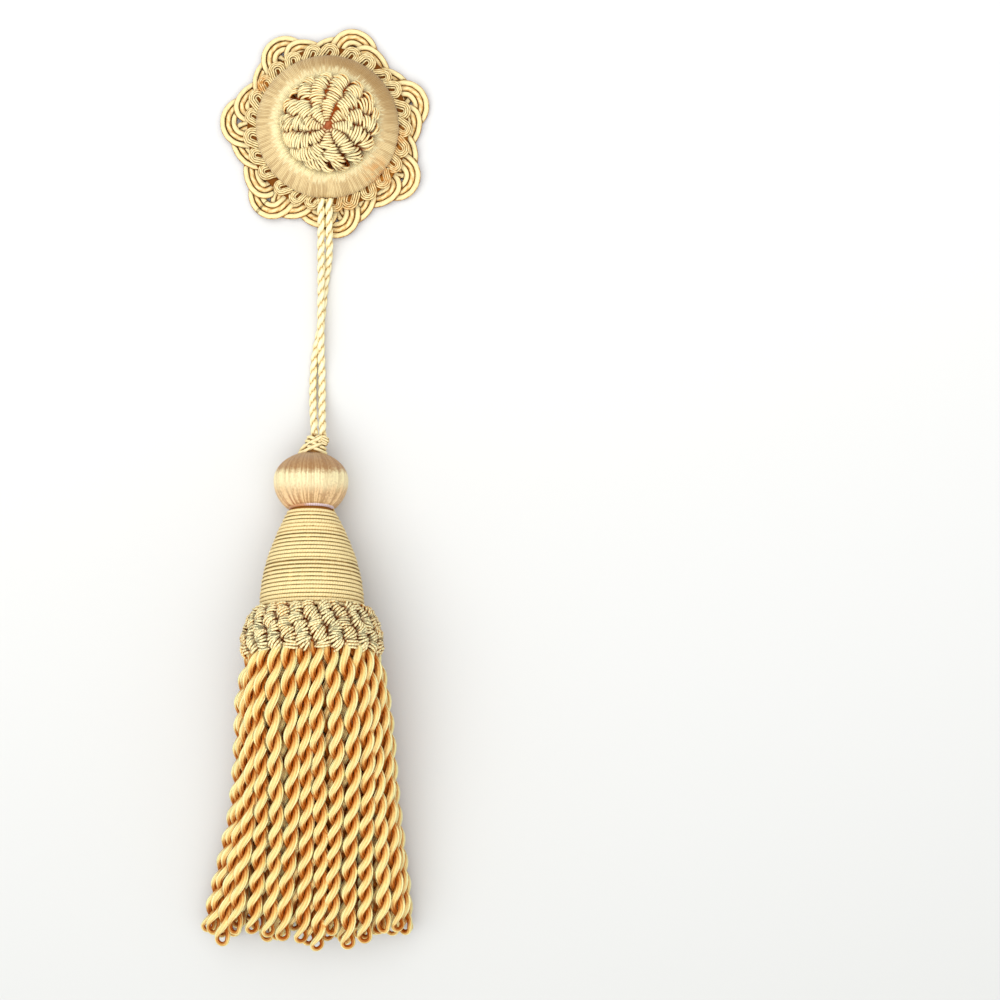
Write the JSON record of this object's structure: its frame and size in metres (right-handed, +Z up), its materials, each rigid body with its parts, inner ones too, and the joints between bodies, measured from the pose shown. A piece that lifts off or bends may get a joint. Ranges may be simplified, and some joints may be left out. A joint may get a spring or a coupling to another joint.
{
  "type": "curtain tieback tassel",
  "caption": "Curtain tieback tassel: flower rosette with a knotted button, two plied cords, and a gimp-wound tassel with a bullion skirt.",
  "frame": {"origin": "centre of the rosette's flat back, on the surface that the tassel lies on", "axes": "+Y from the tassel to the rosette along the whole length, +Z up out of the rosette's face, +X to the right"},
  "size_m": [0.0968, 0.3917, 0.0589],
  "materials": {
    "plaited_gimp": "pale gold viscose gimp with a soft sheen",
    "looped_edging": "fine pale gold cord in loops",
    "satin_thread": "wound satin thread, glossy along the winding",
    "knotted_thread": "thread-wrapped knots, cream with brown between",
    "wound_gimp": "cream gimp wound in close turns",
    "lilac_thread": "greyish lilac thread",
    "bullion_thread": "glossy golden twisted bullion",
    "plied_cord": "two-ply cream cord"
  },
  "bodies": {
    "root": {"rosette_braid": "plaited_gimp", "rosette_loops": "looped_edging", "rosette_ring": "satin_thread", "rosette_button": "knotted_thread", "tassel_ball": "satin_thread", "neck_disc": "lilac_thread", "cord_collar": "wound_gimp", "tassel_head": "wound_gimp", "knotted_ruff": "knotted_thread", "bullion_skirt": "bullion_thread", "hanging_cord_left": "plied_cord", "hanging_cord_right": "plied_cord"}
  },
  "joints": []
}
